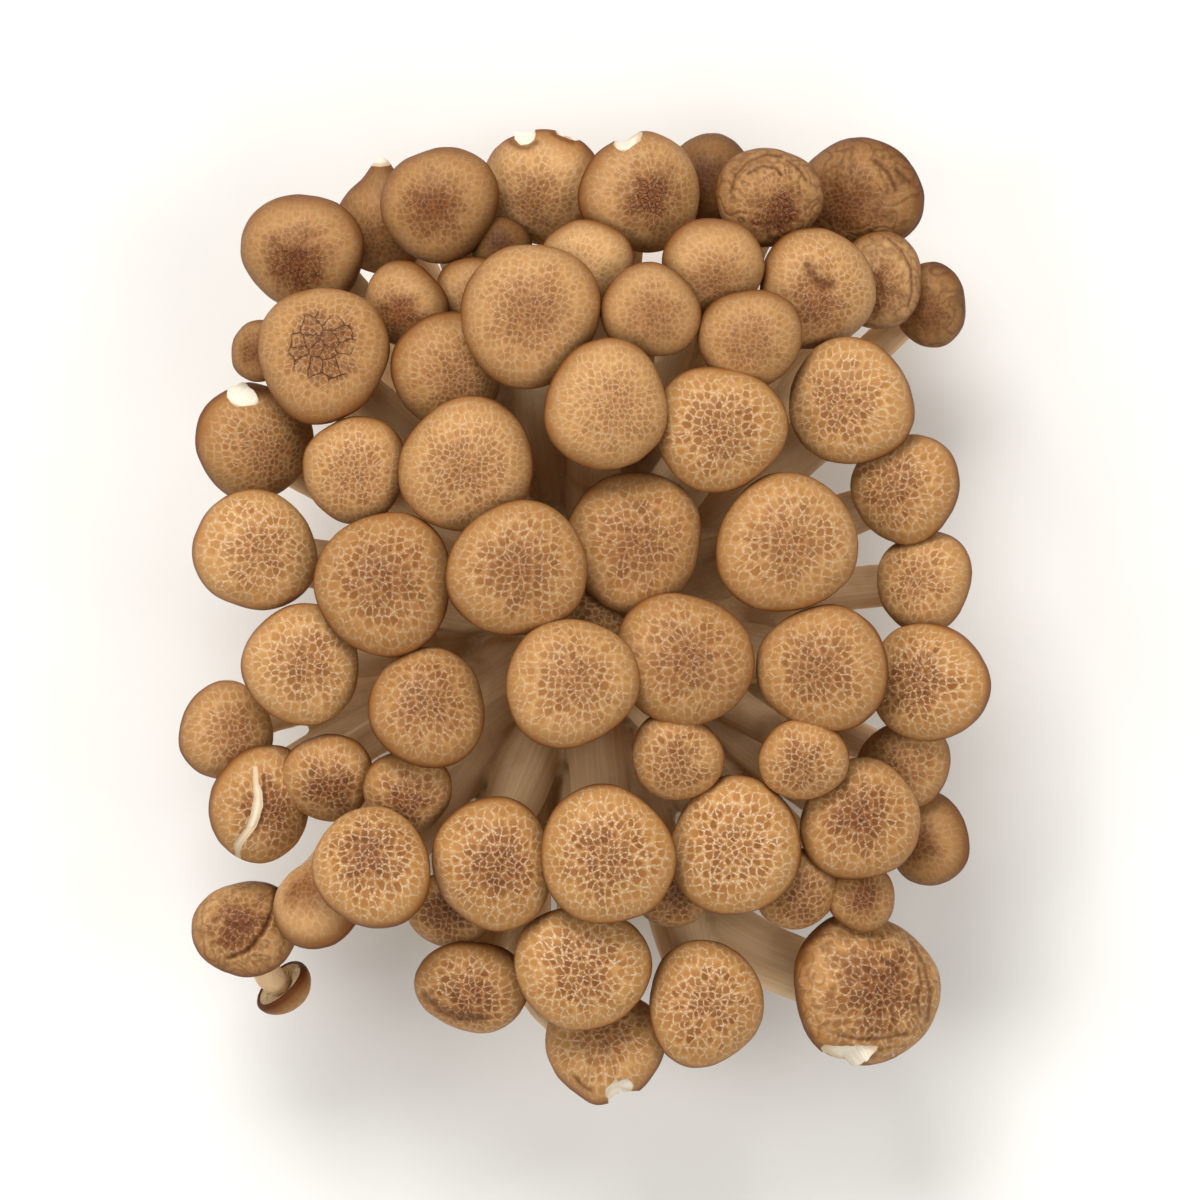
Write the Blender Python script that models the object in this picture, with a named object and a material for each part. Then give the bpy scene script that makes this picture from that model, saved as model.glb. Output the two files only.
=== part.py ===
"""A cluster of brown beech mushrooms, standing on the cut base that all its stems grow from.

Metres, +Z up. The origin is on the surface that the cluster stands on, under its middle.
The cream base and stems are one body. Each brown cap is a body of its own, on the end of its stem.
"""

import math
import random

import bmesh
import bpy
from mathutils import Matrix, Vector
from mathutils.bvhtree import BVHTree

MM = 0.001
UP = Vector((0, 0, 1))
GAP = 0.3 * MM  # between a cap and whatever it meets

# The cut base: half its width along X, half its length along Y, and its height.
BASE_HALF_WIDTH = 27 * MM
BASE_HALF_LENGTH = 32 * MM
BASE_HEIGHT = 17 * MM
BASE_SIDES = 24
BASE_FOOT = 0.9  # its cut face, as a share of its width above
BASE_LUMP = 0.03  # how far the stem feet swell its outline, as a share of it

# The crown: the height of the caps' margins in the middle, and how far that falls to the rim.
CROWN_HEIGHT = 56 * MM
CROWN_FALL = 14 * MM
CROWN_HALF_WIDTH = 60 * MM
CROWN_HALF_LENGTH = 73 * MM

# A cap, in shares of its radius. Heights are from its widest ring.
DOME_RINGS = ((0.42, 0.90), (0.76, 0.62), (1.0, 0.06))  # radius, share of the dome's rise
MARGIN_RADIUS, MARGIN_HEIGHT = 0.90, -0.16
GILL_RADIUS, GILL_EDGE, GILL_ROOT = 0.80, -0.15, -0.01
SOCKET_RADIUS, SOCKET_HEIGHT = 0.45, 0.03
RISE_OF_SMALL, RISE_LOST_PER_METRE = 0.92, 22  # small caps are rounder than large ones
OUT_OF_ROUND = 0.03
LARGE_CAP = 7.5 * MM  # from this radius up, a cap has LARGE_SIDES
LARGE_SIDES, SMALL_SIDES = 11, 9

# A stem, in shares of its cap's radius, from its root to its top.
STEM_RADII = (0.42, 0.47, 0.46, 0.42, 0.38, 0.37)
STEM_RING_EDGES = 1  # bevel resolution: six sides
THINNEST_STEM = 2.0 * MM
ROOT_SPREAD = 0.36  # a root's place in the base, as a share of its cap's place in the crown
ROOT_HEIGHT = 7 * MM
NECK = 4 * MM  # the straight stretch under each cap
# The stems that show between the caps: where one starts from the base, and the place, from its
# cap, that it is drawn towards on its way up. In millimetres.
SHOWN_STEMS = {
    "s19": ((5, -24), (-24, 6, -14)),
    "s23": ((-6, -26), (-17, 8, -12)),
}

# Each cap as it is seen from above, in millimetres and degrees: x, y, half width, half length,
# how far it sits below the crown, how far it leans, and the direction that it leans in.
CAPS = {
    "n01": (-41.0, 55.0, 9.0, 9.0, 5, 12, -120),
    "n02": (-29.5, 59.0, 7.2, 7.6, 12.5, 25, -100),
    "n03": (-23.3, 61.0, 8.8, 8.6, 2, 11, -100),
    "n04": (-6.0, 64.5, 9.0, 9.2, 7, 32, -119),
    "n05": (10.0, 62.0, 9.2, 9.2, 6, 22, -30),
    "n06": (19.5, 65.5, 6.8, 6.8, 9, 10, 180),
    "n07": (27.5, 63.0, 7.8, 7.6, 3, 0, 0),
    "n08": (42.0, 63.0, 10.0, 8.6, 7, 22, -145),
    "n09": (0.5, 52.0, 7.0, 7.0, 1, 15, -100),
    "n10": (19.0, 53.0, 7.8, 7.6, 0, 22, -53),
    "n11": (34.0, 48.5, 9.0, 8.8, 0, 12, -30),
    "n12": (44.5, 50.5, 6.8, 7.2, 3, 8, -90),
    "n13": (52.5, 47.0, 5.6, 6.4, 9, 20, -120),
    "n14": (-26.0, 46.5, 6.6, 6.4, 5, 26, -146),
    "n15": (-16.5, 48.5, 5.6, 5.4, 8, 15, -90),
    "n16": (10.5, 45.5, 7.4, 7.0, 1, 10, -60),
    "n17": (25.5, 42.0, 7.6, 7.6, 1, 10, -90),
    "n18": (-7.5, 44.5, 10.4, 10.6, -1, 0, 0),
    "n19": (-38.5, 39.0, 9.6, 10.4, 0, 8, 90),
    "n20": (-47.8, 39.5, 4.6, 4.6, 0, 10, 180),
    "n21": (-20.0, 37.0, 8.8, 8.6, 3, 20, -40),
    "n22": (4.0, 31.0, 9.4, 9.4, 0, 12, -20),
    "n23": (-49.5, 26.0, 9.0, 8.8, 6, 25, -30),
    "n24": (-34.0, 22.0, 7.8, 7.8, 2, 8, -90),
    "n25": (-17.0, 22.0, 10.0, 10.0, 0, 5, -90),
    "n26": (-14.2, 54.8, 4.6, 4.6, 8, 0, 0),
    "m01": (-49.0, 9.5, 9.2, 9.0, 1, 10, 0),
    "m02": (-29.5, 4.5, 10.4, 10.4, 0, 4, 90),
    "m03": (-42.0, -7.5, 9.0, 8.8, 2, 8, 0),
    "m04": (-23.0, -14.0, 8.8, 8.8, 1, 12, 60),
    "m05": (-9.5, 6.5, 10.2, 10.2, 0, 5, 0),
    "m06": (-1.5, -10.0, 9.8, 9.6, 1, 8, 40),
    "m07": (8.0, 10.5, 10.4, 10.2, 1, 6, 0),
    "m08": (21.0, 28.5, 9.6, 9.6, 2, 4, -90),
    "m09": (40.5, 31.5, 9.6, 9.2, 1, 14, 180),
    "m10": (30.5, 10.5, 10.4, 10.4, 0, 3, 0),
    "m11": (15.0, -6.5, 10.4, 10.0, 2, 5, 0),
    "m12": (36.0, -8.0, 9.6, 9.4, 0, 8, 180),
    "m13": (48.5, 19.0, 8.4, 8.0, 3, 16, 180),
    "m14": (3.5, 0.5, 6.8, 6.6, 6, 0, 0),
    "s01": (51.5, 5.0, 7.2, 7.6, 5, 15, 180),
    "s02": (52.0, -10.5, 9.0, 9.0, 2, 20, 180),
    "s03": (48.5, -22.5, 6.8, 6.8, 5, 10, 180),
    "s04": (52.5, -34.0, 6.4, 7.0, 9, 25, 190),
    "s05": (-53.5, -18.0, 7.4, 7.2, 5, 15, 0),
    "s06": (-48.0, -28.5, 7.8, 8.8, 3, 20, -30),
    "s07": (-37.8, -24.4, 6.8, 6.8, 4, 15, -90),
    "s08": (-26.5, -26.5, 6.4, 6.4, 4, 15, -90),
    "s09": (-31.5, -38.0, 8.8, 9.2, 0, 18, 100),
    "s10": (-14.0, -38.0, 9.0, 9.8, 1, 6, -15),
    "s11": (3.5, -36.0, 10.2, 10.0, -1, 0, 0),
    "s12": (14.0, -21.0, 6.8, 6.8, 3, 10, -90),
    "s13": (24.0, -35.5, 10.0, 10.2, 0, 5, 180),
    "s14": (33.0, -21.5, 6.6, 6.4, 0, 10, -90),
    "s15": (41.5, -31.0, 8.8, 9.2, 3, 6, 90),
    "s16": (13.6, -40.6, 6.4, 6.6, 10, 20, -90),
    "s17": (31.0, -42.0, 6.4, 6.4, 7, 20, -80),
    "s18": (41.0, -43.5, 5.2, 5.2, 5, 5, 0),
    "s19": (42.5, -55.0, 11.4, 11.4, 3, 20, 0),
    "s20": (-19.0, -43.5, 6.4, 6.0, 12, 10, -110),
    "s21": (0.0, -53.0, 10.0, 9.4, 3, 0, 0),
    "s22": (-16.5, -56.0, 8.6, 6.8, 7, 12, -110),
    "s23": (3.5, -65.0, 9.2, 8.4, 9, 20, 100),
    "s24": (18.5, -58.5, 8.8, 9.2, 4, 4, 0),
    "s25": (-50.5, -47.5, 7.8, 7.6, 4, 20, 90),
    "s26": (-45.5, -56.5, 4.6, 4.6, 14, 115, -45),
    "s27": (-39.0, -43.5, 7.2, 7.6, 8, 40, 120),
}
# Caps that have grown into one another, so that each pair is one body.
GROWN_TOGETHER = (
    ("n03", "n26"),
    ("n19", "n20"),
    ("m07", "m14"),
    ("m08", "n17"),
    ("m11", "s12"),
    ("m12", "s14"),
    ("s06", "s07"),
    ("s17", "s18"),
)

NECK_CLEARED = 10 * MM  # how far down its stem a cap's neighbours keep clear
SETTLE_ROUNDS = 400
SETTLE_STEP = 0.15 * MM
SIDEWAYS, LENGTHWISE = 0.3, 2.0  # how readily touching caps part in plan, and in height
HOMING_ROUNDS = 240  # the rounds in which moved caps are also drawn back to where they are seen
HOMING_SHARE, HOMING_SLACK = 0.03, 0.3 * MM
BEND_ROUNDS = 240
BEND_SPREAD = 0.15  # how far a bend at one point of a stem spreads to the next, each round
LOW_HANDLE, HIGH_HANDLE = 0.40, 0.35  # of a stem's curve, as shares of its reach

SKIN_COLOUR, SKIN_ROUGHNESS = (0.52, 0.29, 0.12), 0.62
STEM_COLOUR, STEM_ROUGHNESS = (0.80, 0.66, 0.47), 0.70


def plain_material(name, colour, roughness):
    material = bpy.data.materials.new(name)
    material.use_nodes = True
    shader = material.node_tree.nodes["Principled BSDF"]
    shader.inputs["Base Color"].default_value = (*colour, 1)
    shader.inputs["Roughness"].default_value = roughness
    shader.inputs["Metallic"].default_value = 0
    return material


class Cap:
    """Where one cap is and how it leans. Its own frame has the widest ring at z = 0."""

    def __init__(self, name):
        x, y, half_width, half_length, drop, lean, towards = CAPS[name]
        self.name = name
        self.half_width, self.half_length = half_width * MM, half_length * MM
        self.radius = (self.half_width + self.half_length) / 2
        self.rise = self.radius * (RISE_OF_SMALL - RISE_LOST_PER_METRE * self.radius)
        self.sides = LARGE_SIDES if self.radius >= LARGE_CAP else SMALL_SIDES
        out = (x * MM / CROWN_HALF_WIDTH) ** 2 + (y * MM / CROWN_HALF_LENGTH) ** 2
        self.place = Vector((x * MM, y * MM, CROWN_HEIGHT - CROWN_FALL * out - drop * MM))
        turn = math.radians(towards)
        self.tilt = Matrix.Rotation(
            math.radians(lean), 3, Vector((-math.sin(turn), math.cos(turn), 0))
        )
        self.axis = self.tilt @ UP
        draw = random.Random(name)
        self.swells = [(2, draw.uniform(0, math.tau)), (3, draw.uniform(0, math.tau))]

    def world(self):
        return Matrix.Translation(self.place) @ self.tilt.to_4x4()

    def ring(self, count, radius, height):
        """Points round the cap at a share of its radius, following its slightly uneven outline."""
        points = []
        for k in range(count):
            turn = math.tau * k / count
            swell = 1 + OUT_OF_ROUND * sum(math.cos(n * turn + at) for n, at in self.swells)
            points.append(
                Vector(
                    (
                        self.half_width * radius * swell * math.cos(turn),
                        self.half_length * radius * swell * math.sin(turn),
                        height,
                    )
                )
            )
        return points

    def stem_top(self):
        """The middle of the face that the stem's end meets."""
        return self.world() @ Vector((0, 0, SOCKET_HEIGHT * self.radius - GAP))

    def stem_radius(self, share):
        return max(THINNEST_STEM, share * self.radius)


def band(bm, upper, lower):
    """Faces between two rings, the lower with as many points as the upper or twice as many."""
    n = len(upper)
    fine = len(lower) // n
    for k in range(n):
        a, b = upper[k], upper[(k + 1) % n]
        low = [lower[(fine * k + j) % len(lower)] for j in range(fine + 1)]
        if fine == 1:
            bm.faces.new((a, low[0], low[1], b))
        else:
            bm.faces.new((a, low[0], low[1]))
            bm.faces.new((a, low[1], b))
            bm.faces.new((b, low[1], low[2]))


def cap_shape(cap):
    """A dome, a margin that curls in under it, and gills that run from the margin to the socket."""
    bm = bmesh.new()
    new_ring = lambda points: [bm.verts.new(p) for p in points]
    rings = [new_ring(cap.ring(cap.sides, r, share * cap.rise)) for r, share in DOME_RINGS]
    rings.append(new_ring(cap.ring(cap.sides, MARGIN_RADIUS, MARGIN_HEIGHT * cap.radius)))
    gill_ends = cap.ring(2 * cap.sides, GILL_RADIUS, 0)
    for k, end in enumerate(gill_ends):
        end.z = cap.radius * (GILL_EDGE if k % 2 else GILL_ROOT)
    rings.append(new_ring(gill_ends))
    rings.append(
        new_ring(cap.ring(2 * cap.sides, SOCKET_RADIUS, SOCKET_HEIGHT * cap.radius))
    )
    apex = bm.verts.new((0, 0, cap.rise))
    first = rings[0]
    for k, corner in enumerate(first):
        bm.faces.new((apex, corner, first[(k + 1) % len(first)]))
    for upper, lower in zip(rings, rings[1:]):
        band(bm, upper, lower)
    bm.faces.new(reversed(rings[-1]))
    return bm


def surface_tree(bm, matrix, grow):
    """A tree of the shape's faces in world space, with the shape grown by a distance."""
    bm.normal_update()
    points = [matrix @ (v.co + v.normal * grow) for v in bm.verts]
    bm.verts.index_update()
    faces = [[v.index for v in f.verts] for f in bm.faces]
    return BVHTree.FromPolygons(points, faces)


def neck_shape(cap):
    """The top of the stem under a cap, which its neighbours have to clear."""
    bm = bmesh.new()
    radius = cap.stem_radius(STEM_RADII[-2]) + GAP
    bmesh.ops.create_cone(
        bm, cap_ends=True, segments=8, radius1=radius, radius2=radius, depth=NECK_CLEARED
    )
    bmesh.ops.translate(bm, verts=bm.verts, vec=(0, 0, -NECK_CLEARED / 2))
    return bm


def settle(bodies):
    """Neighbours that touch push each other apart, as they do while they grow, until all have room."""
    caps = [cap for body in bodies for cap in body]
    body_of = {cap.name: body for body in bodies for cap in body}
    shapes = {cap.name: (cap_shape(cap), neck_shape(cap)) for cap in caps}
    pairs = [
        (a, b)
        for i, a in enumerate(caps)
        for b in caps[i + 1 :]
        if body_of[a.name] is not body_of[b.name]
        and (a.place - b.place).xy.length < 1.3 * (a.radius + b.radius)
    ]

    def trees_of(cap):
        cap_bm, neck_bm = shapes[cap.name]
        matrix = cap.world()
        return surface_tree(cap_bm, matrix, GAP), surface_tree(neck_bm, matrix, 0)

    def shift(cap, way):
        for member in body_of[cap.name]:
            member.place += way
            trees[member.name] = trees_of(member)

    trees = {cap.name: trees_of(cap) for cap in caps}
    seen_at = {cap.name: cap.place.copy() for cap in caps}
    for done in range(SETTLE_ROUNDS):
        touched = False
        if done < HOMING_ROUNDS:
            for first, *_ in bodies:
                back = seen_at[first.name] - first.place
                back.z = 0
                if back.length > HOMING_SLACK:
                    shift(first, back * HOMING_SHARE)
        for a, b in pairs:
            apart = a.place - b.place
            (cap_a, neck_a), (cap_b, neck_b) = trees[a.name], trees[b.name]
            if cap_a.overlap(cap_b):
                way = Vector((apart.x * SIDEWAYS, apart.y * SIDEWAYS, apart.z * LENGTHWISE))
            elif neck_a.overlap(cap_b) or cap_a.overlap(neck_b):
                way = Vector((apart.x, apart.y, 0))
            else:
                continue
            touched = True
            way = way.normalized() * SETTLE_STEP
            shift(a, way)
            shift(b, -way)
        if not touched and done >= HOMING_ROUNDS:
            break
    for cap_bm, neck_bm in shapes.values():
        cap_bm.free()
        neck_bm.free()


def stem_route(cap, caps):
    """Points from the base up to a cap, on a curve that is bent clear of the other caps."""
    top = cap.stem_top()
    neck = top - cap.axis * NECK
    root = Vector((cap.place.x * ROOT_SPREAD, cap.place.y * ROOT_SPREAD, ROOT_HEIGHT))
    reach = (neck - root).length
    high = neck - cap.axis.lerp((neck - root).normalized(), 0.5) * reach * HIGH_HANDLE
    if cap.name in SHOWN_STEMS:
        foot, drawn = SHOWN_STEMS[cap.name]
        root = Vector((foot[0] * MM, foot[1] * MM, ROOT_HEIGHT))
        high = cap.place + Vector(drawn) * MM
    low = root + Vector((root.x, root.y, BASE_HALF_WIDTH)).normalized() * reach * LOW_HANDLE
    count = len(STEM_RADII) - 1
    curve = []
    for k in range(count):
        t = k / (count - 1)
        s = 1 - t
        curve.append(s**3 * root + 3 * s * s * t * low + 3 * s * t * t * high + t**3 * neck)
    bend = [Vector((0, 0, 0)) for _ in curve]
    others = [other for other in caps if other is not cap]
    for _ in range(BEND_ROUNDS):
        for k in range(1, count - 1):
            room = cap.stem_radius(STEM_RADII[k]) + 2 * GAP
            for other in others:
                bend[k] += way_out(curve[k] + bend[k], other, room)
        for k in range(1, count - 1):
            bend[k] = bend[k].lerp((bend[k - 1] + bend[k + 1]) / 2, BEND_SPREAD)
    return [place + moved for place, moved in zip(curve, bend)] + [top]


def way_out(point, cap, room):
    """The move that takes a point out of the flattened ball round a cap, widened by some room."""
    reach = Vector((cap.radius + room, cap.radius + room, cap.rise * 0.62 + room))
    middle = UP * cap.rise * 0.42
    local = cap.tilt.transposed() @ (point - cap.place) - middle
    share = Vector((local.x / reach.x, local.y / reach.y, local.z / reach.z))
    if share.length >= 1 or share.length == 0:
        return Vector((0, 0, 0))
    return cap.tilt @ (local * (1 / share.length - 1)) * 0.5


def mesh_object(name, bm, material, collection):
    mesh = bpy.data.meshes.new(name)
    bm.to_mesh(mesh)
    bm.free()
    mesh.materials.append(material)
    made = bpy.data.objects.new(name, mesh)
    collection.objects.link(made)
    return made


def make_base(material, collection):
    """A thick slab, cut flat below, whose side swells where stem feet join it."""
    bm = bmesh.new()
    bmesh.ops.create_cone(
        bm, cap_ends=True, segments=BASE_SIDES, radius1=BASE_FOOT, radius2=1, depth=BASE_HEIGHT
    )
    draw = random.Random("base")
    swells = [(n, draw.uniform(0, math.tau)) for n in (2, 3, 5)]
    for v in bm.verts:
        turn = math.atan2(v.co.y, v.co.x)
        swell = 1 + BASE_LUMP * sum(math.cos(n * turn + at) for n, at in swells)
        v.co.x *= BASE_HALF_WIDTH * swell
        v.co.y *= BASE_HALF_LENGTH * swell
        v.co.z += BASE_HEIGHT / 2
    return mesh_object("stems_and_base", bm, material, collection)


def make_stem(cap, caps, collection):
    """A six-sided tube along the stem's route, closed at both ends."""
    curve = bpy.data.curves.new("stem_" + cap.name, "CURVE")
    curve.dimensions = "3D"
    curve.bevel_depth = 1
    curve.bevel_resolution = STEM_RING_EDGES
    curve.use_fill_caps = True
    spline = curve.splines.new("POLY")
    route = stem_route(cap, caps)
    spline.points.add(len(route) - 1)
    for point, place, share in zip(spline.points, route, STEM_RADII):
        point.co = (*place, 1)
        point.radius = cap.stem_radius(share)
    guide = bpy.data.objects.new(curve.name, curve)
    collection.objects.link(guide)
    graph = bpy.context.evaluated_depsgraph_get()
    mesh = bpy.data.meshes.new_from_object(guide.evaluated_get(graph))
    bm = bmesh.new()
    bm.from_mesh(mesh)
    bmesh.ops.remove_doubles(bm, verts=bm.verts, dist=0.01 * MM)
    bm.to_mesh(mesh)
    bm.free()
    stem = bpy.data.objects.new(guide.name, mesh)
    stem.matrix_world = guide.matrix_world
    collection.objects.link(stem)
    bpy.data.objects.remove(guide)
    return stem


def joined(target, operands):
    """The target with every object of a collection joined to it, as one plain mesh."""
    union = target.modifiers.new("grown together", "BOOLEAN")
    union.operation = "UNION"
    union.operand_type = "COLLECTION"
    union.collection = operands
    union.solver = "EXACT"
    graph = bpy.context.evaluated_depsgraph_get()
    mesh = bpy.data.meshes.new_from_object(target.evaluated_get(graph))
    target.modifiers.clear()
    target.data = mesh
    keep_largest_shell(mesh)
    for operand in list(operands.objects):
        bpy.data.objects.remove(operand)
    return target


def keep_largest_shell(mesh):
    """Fills the small pockets that stems close off between them."""
    bm = bmesh.new()
    bm.from_mesh(mesh)
    unseen = set(bm.verts)
    shells = []
    while unseen:
        shell, edge = set(), [unseen.pop()]
        while edge:
            v = edge.pop()
            shell.add(v)
            near = {e.other_vert(v) for e in v.link_edges} & unseen
            unseen -= near
            edge.extend(near)
        shells.append(shell)
    shells.sort(key=len)
    for shell in shells[:-1]:
        bmesh.ops.delete(bm, geom=list(shell), context="VERTS")
    bm.to_mesh(mesh)
    bm.free()


def stand_on_origin(nodes):
    """Moves everything so that the middle of the cluster's box is over the origin."""
    bpy.context.view_layer.update()
    corners = [node.matrix_world @ v.co for node in nodes for v in node.data.vertices]
    middle_x = (min(c.x for c in corners) + max(c.x for c in corners)) / 2
    middle_y = (min(c.y for c in corners) + max(c.y for c in corners)) / 2
    for node in nodes:
        node.location -= Vector((middle_x, middle_y, 0))


def main():
    for old in list(bpy.data.objects):
        bpy.data.objects.remove(old)
    cluster = bpy.data.collections.new("beech_mushroom_cluster")
    bpy.context.scene.collection.children.link(cluster)
    joining = bpy.data.collections.new("joining")
    bpy.context.scene.collection.children.link(joining)
    skin = plain_material("cap_skin", SKIN_COLOUR, SKIN_ROUGHNESS)
    flesh = plain_material("stem_flesh", STEM_COLOUR, STEM_ROUGHNESS)

    partner_of = dict(GROWN_TOGETHER)
    partners = set(partner_of.values())
    bodies = [
        [Cap(n) for n in (name, partner_of.get(name)) if n]
        for name in CAPS
        if name not in partners
    ]
    settle(bodies)
    caps = [cap for body in bodies for cap in body]

    nodes = []
    for body in bodies:
        name = "cap_" + "_".join(cap.name for cap in body)
        node = mesh_object(name, cap_shape(body[0]), skin, cluster)
        node.matrix_world = body[0].world()
        for cap in body[1:]:
            partner = mesh_object("partner", cap_shape(cap), skin, joining)
            partner.matrix_world = cap.world()
            joined(node, joining)
        node.data.shade_smooth()
        nodes.append(node)

    base = make_base(flesh, cluster)
    for cap in caps:
        make_stem(cap, caps, joining)
    nodes.append(joined(base, joining))
    bpy.data.collections.remove(joining)
    stand_on_origin(nodes)


main()
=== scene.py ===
import math
import random

import bmesh
import bpy
import numpy as np
from mathutils import Matrix, Vector, noise
from mathutils.kdtree import KDTree


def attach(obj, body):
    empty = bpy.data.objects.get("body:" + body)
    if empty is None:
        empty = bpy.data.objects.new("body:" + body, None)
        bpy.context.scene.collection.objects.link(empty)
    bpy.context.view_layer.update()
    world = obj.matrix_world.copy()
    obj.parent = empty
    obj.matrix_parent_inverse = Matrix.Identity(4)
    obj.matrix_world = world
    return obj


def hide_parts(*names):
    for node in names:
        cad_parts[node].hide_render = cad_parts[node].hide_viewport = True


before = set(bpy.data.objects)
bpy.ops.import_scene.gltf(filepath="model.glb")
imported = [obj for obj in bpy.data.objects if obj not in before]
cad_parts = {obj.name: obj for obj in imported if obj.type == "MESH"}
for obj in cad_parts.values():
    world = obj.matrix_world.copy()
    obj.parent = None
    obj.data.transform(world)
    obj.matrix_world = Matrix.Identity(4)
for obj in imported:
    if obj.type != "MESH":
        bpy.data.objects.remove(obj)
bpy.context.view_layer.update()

# Where each cap sits
# A cap grows round the end of its stem. The flat socket under each solid cap, where the stem's
# end meets it, gives its middle, its axis and its radius, and its widest ring gives its outline.
MM = 0.001
SOCKET_RADIUS, SOCKET_HEIGHT = 0.45, 0.03  # shares of the cap's radius
SOCKET_CORNERS = 16  # the socket is the only flat face with at least this many
RISE_OF_SMALL, RISE_LOST_PER_METRE = 0.92, 22  # small caps are rounder than large ones
WIDEST_RING = 0.06  # its height, as a share of the dome's rise
FLAT_SIDES_LOSE = 1.012  # a round cap's radius against its many-sided solid's


class Cap:
    """One cap's own frame: +Z out through its top, and its widest ring at z = 0."""

    def __init__(self, name, corners, socket, outward):
        self.name = name
        self.axis = outward
        middle = sum(socket, Vector()) / len(socket)
        self.radius = sum((p - middle).length for p in socket) / len(socket) / SOCKET_RADIUS
        self.rise = self.radius * (RISE_OF_SMALL - RISE_LOST_PER_METRE * self.radius)
        self.place = middle - self.axis * SOCKET_HEIGHT * self.radius
        across = Vector((1, 0, 0)) - self.axis * self.axis.x
        across.normalize()
        self.turn = Matrix((across, self.axis.cross(across), self.axis)).transposed()
        self.outline = self.read_outline([self.inside(p) for p in corners])

    def inside(self, point):
        """A world place in the cap's own frame."""
        return self.turn.transposed() @ (point - self.place)

    def read_outline(self, corners):
        """Two- and three-fold swellings of the widest ring, fitted to its corners."""
        rows, reach = [], []
        for p in corners:
            out = math.hypot(p.x, p.y)
            at_ring = abs(p.z - WIDEST_RING * self.rise) < 0.03 * self.radius
            if at_ring and abs(out / self.radius - 1) < 0.2:
                t = math.atan2(p.y, p.x)
                rows.append(
                    [1, math.cos(2 * t), math.sin(2 * t), math.cos(3 * t), math.sin(3 * t)]
                )
                reach.append(out / self.radius)
        terms = np.linalg.lstsq(np.array(rows), np.array(reach), rcond=None)[0]
        return terms * FLAT_SIDES_LOSE

    def reach(self, t):
        """The outline at an angle, as a share of the radius."""
        a, b, c, d, e = self.outline
        two, three = 2 * t, 3 * t
        return a + b * math.cos(two) + c * math.sin(two) + d * math.cos(three) + e * math.sin(three)


caps_of_node = {}
for node_name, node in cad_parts.items():
    if node_name.startswith("cap_"):
        solid = bmesh.new()
        solid.from_mesh(node.data)
        bmesh.ops.remove_doubles(solid, verts=solid.verts, dist=0.001 * MM)
        bmesh.ops.dissolve_limit(
            solid, angle_limit=math.radians(0.3), verts=solid.verts, edges=solid.edges
        )
        sockets = [f for f in solid.faces if len(f.verts) >= SOCKET_CORNERS]
        sockets.sort(key=lambda f: -f.calc_area())
        corners = [v.co for v in solid.verts]
        names = node_name.split("_")[1:]
        caps_of_node[node_name] = [
            Cap(name, corners, [v.co for v in socket.verts], -socket.normal)
            for name, socket in zip(names, sockets, strict=True)
        ]
        solid.free()
caps = {cap.name: cap for group in caps_of_node.values() for cap in group}


# The skin of the caps
# A thin tan skin, matt, with a pale net of fine raised lines. The meshes of the net are small and
# dark round the top of the cap and wide and faint towards its margin. Old caps crack at the top.
class Paint:
    """A socket of a material's nodes. Sums on it add Math nodes."""

    def __init__(self, tree, plug=None):
        self.tree, self.plug = tree, plug

    def node(self, kind, sockets=None, out=0, **settings):
        """Adds a node of a kind: its settings first, then the values or links of its sockets."""
        made = self.tree.nodes.new("ShaderNode" + kind)
        for name, value in settings.items():
            setattr(made, name, value)
        for name, value in (sockets or {}).items():
            if isinstance(value, Paint):
                self.tree.links.new(value.plug, made.inputs[name])
            else:
                made.inputs[name].default_value = value
        return Paint(self.tree, made.outputs[out])

    def maths(self, operation, *terms):
        return self.node("Math", dict(enumerate(terms)), operation=operation)

    def __add__(self, other):
        return self.maths("ADD", self, other)

    def __radd__(self, other):
        return self.maths("ADD", other, self)

    def __sub__(self, other):
        return self.maths("SUBTRACT", self, other)

    def __rsub__(self, other):
        return self.maths("SUBTRACT", other, self)

    def __mul__(self, other):
        return self.maths("MULTIPLY", self, other)

    def __rmul__(self, other):
        return self.maths("MULTIPLY", other, self)

    def rising(self, low, high):
        """0 below low, 1 above high, smooth between them. It falls where low is above high."""
        return self.node(
            "MapRange",
            {"Value": self, "From Min": low, "From Max": high},
            interpolation_type="SMOOTHSTEP",
        )

    def mixed(self, first, second):
        """The first colour where this is 0, the second where it is 1."""
        return self.node("Mix", {0: self, 6: first, 7: second}, out=2, data_type="RGBA")

    def times(self, amount):
        """This vector or colour with all its parts multiplied alike."""
        return self.node("VectorMath", {0: self, "Scale": amount}, operation="SCALE")

    def plus(self, other):
        return self.node("VectorMath", {0: self, 1: other}, operation="ADD")

    def parts(self, vector):
        """The three numbers of a vector or colour."""
        split = self.node("SeparateXYZ", {0: vector}).plug.node
        return [Paint(self.tree, plug) for plug in split.outputs]


def new_material(name):
    """An empty material, its shader and a Paint to build its nodes with."""
    made = bpy.data.materials.new(name)
    made.use_nodes = True
    return made, made.node_tree.nodes["Principled BSDF"], Paint(made.node_tree)


def srgb(red, green, blue):
    """A colour as it is read off a screen, 0 to 255, as the linear colour of a shader."""
    parts = [c / 255 for c in (red, green, blue)]
    linear = [c / 12.92 if c <= 0.04045 else ((c + 0.055) / 1.055) ** 2.4 for c in parts]
    return (*linear, 1)


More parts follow.
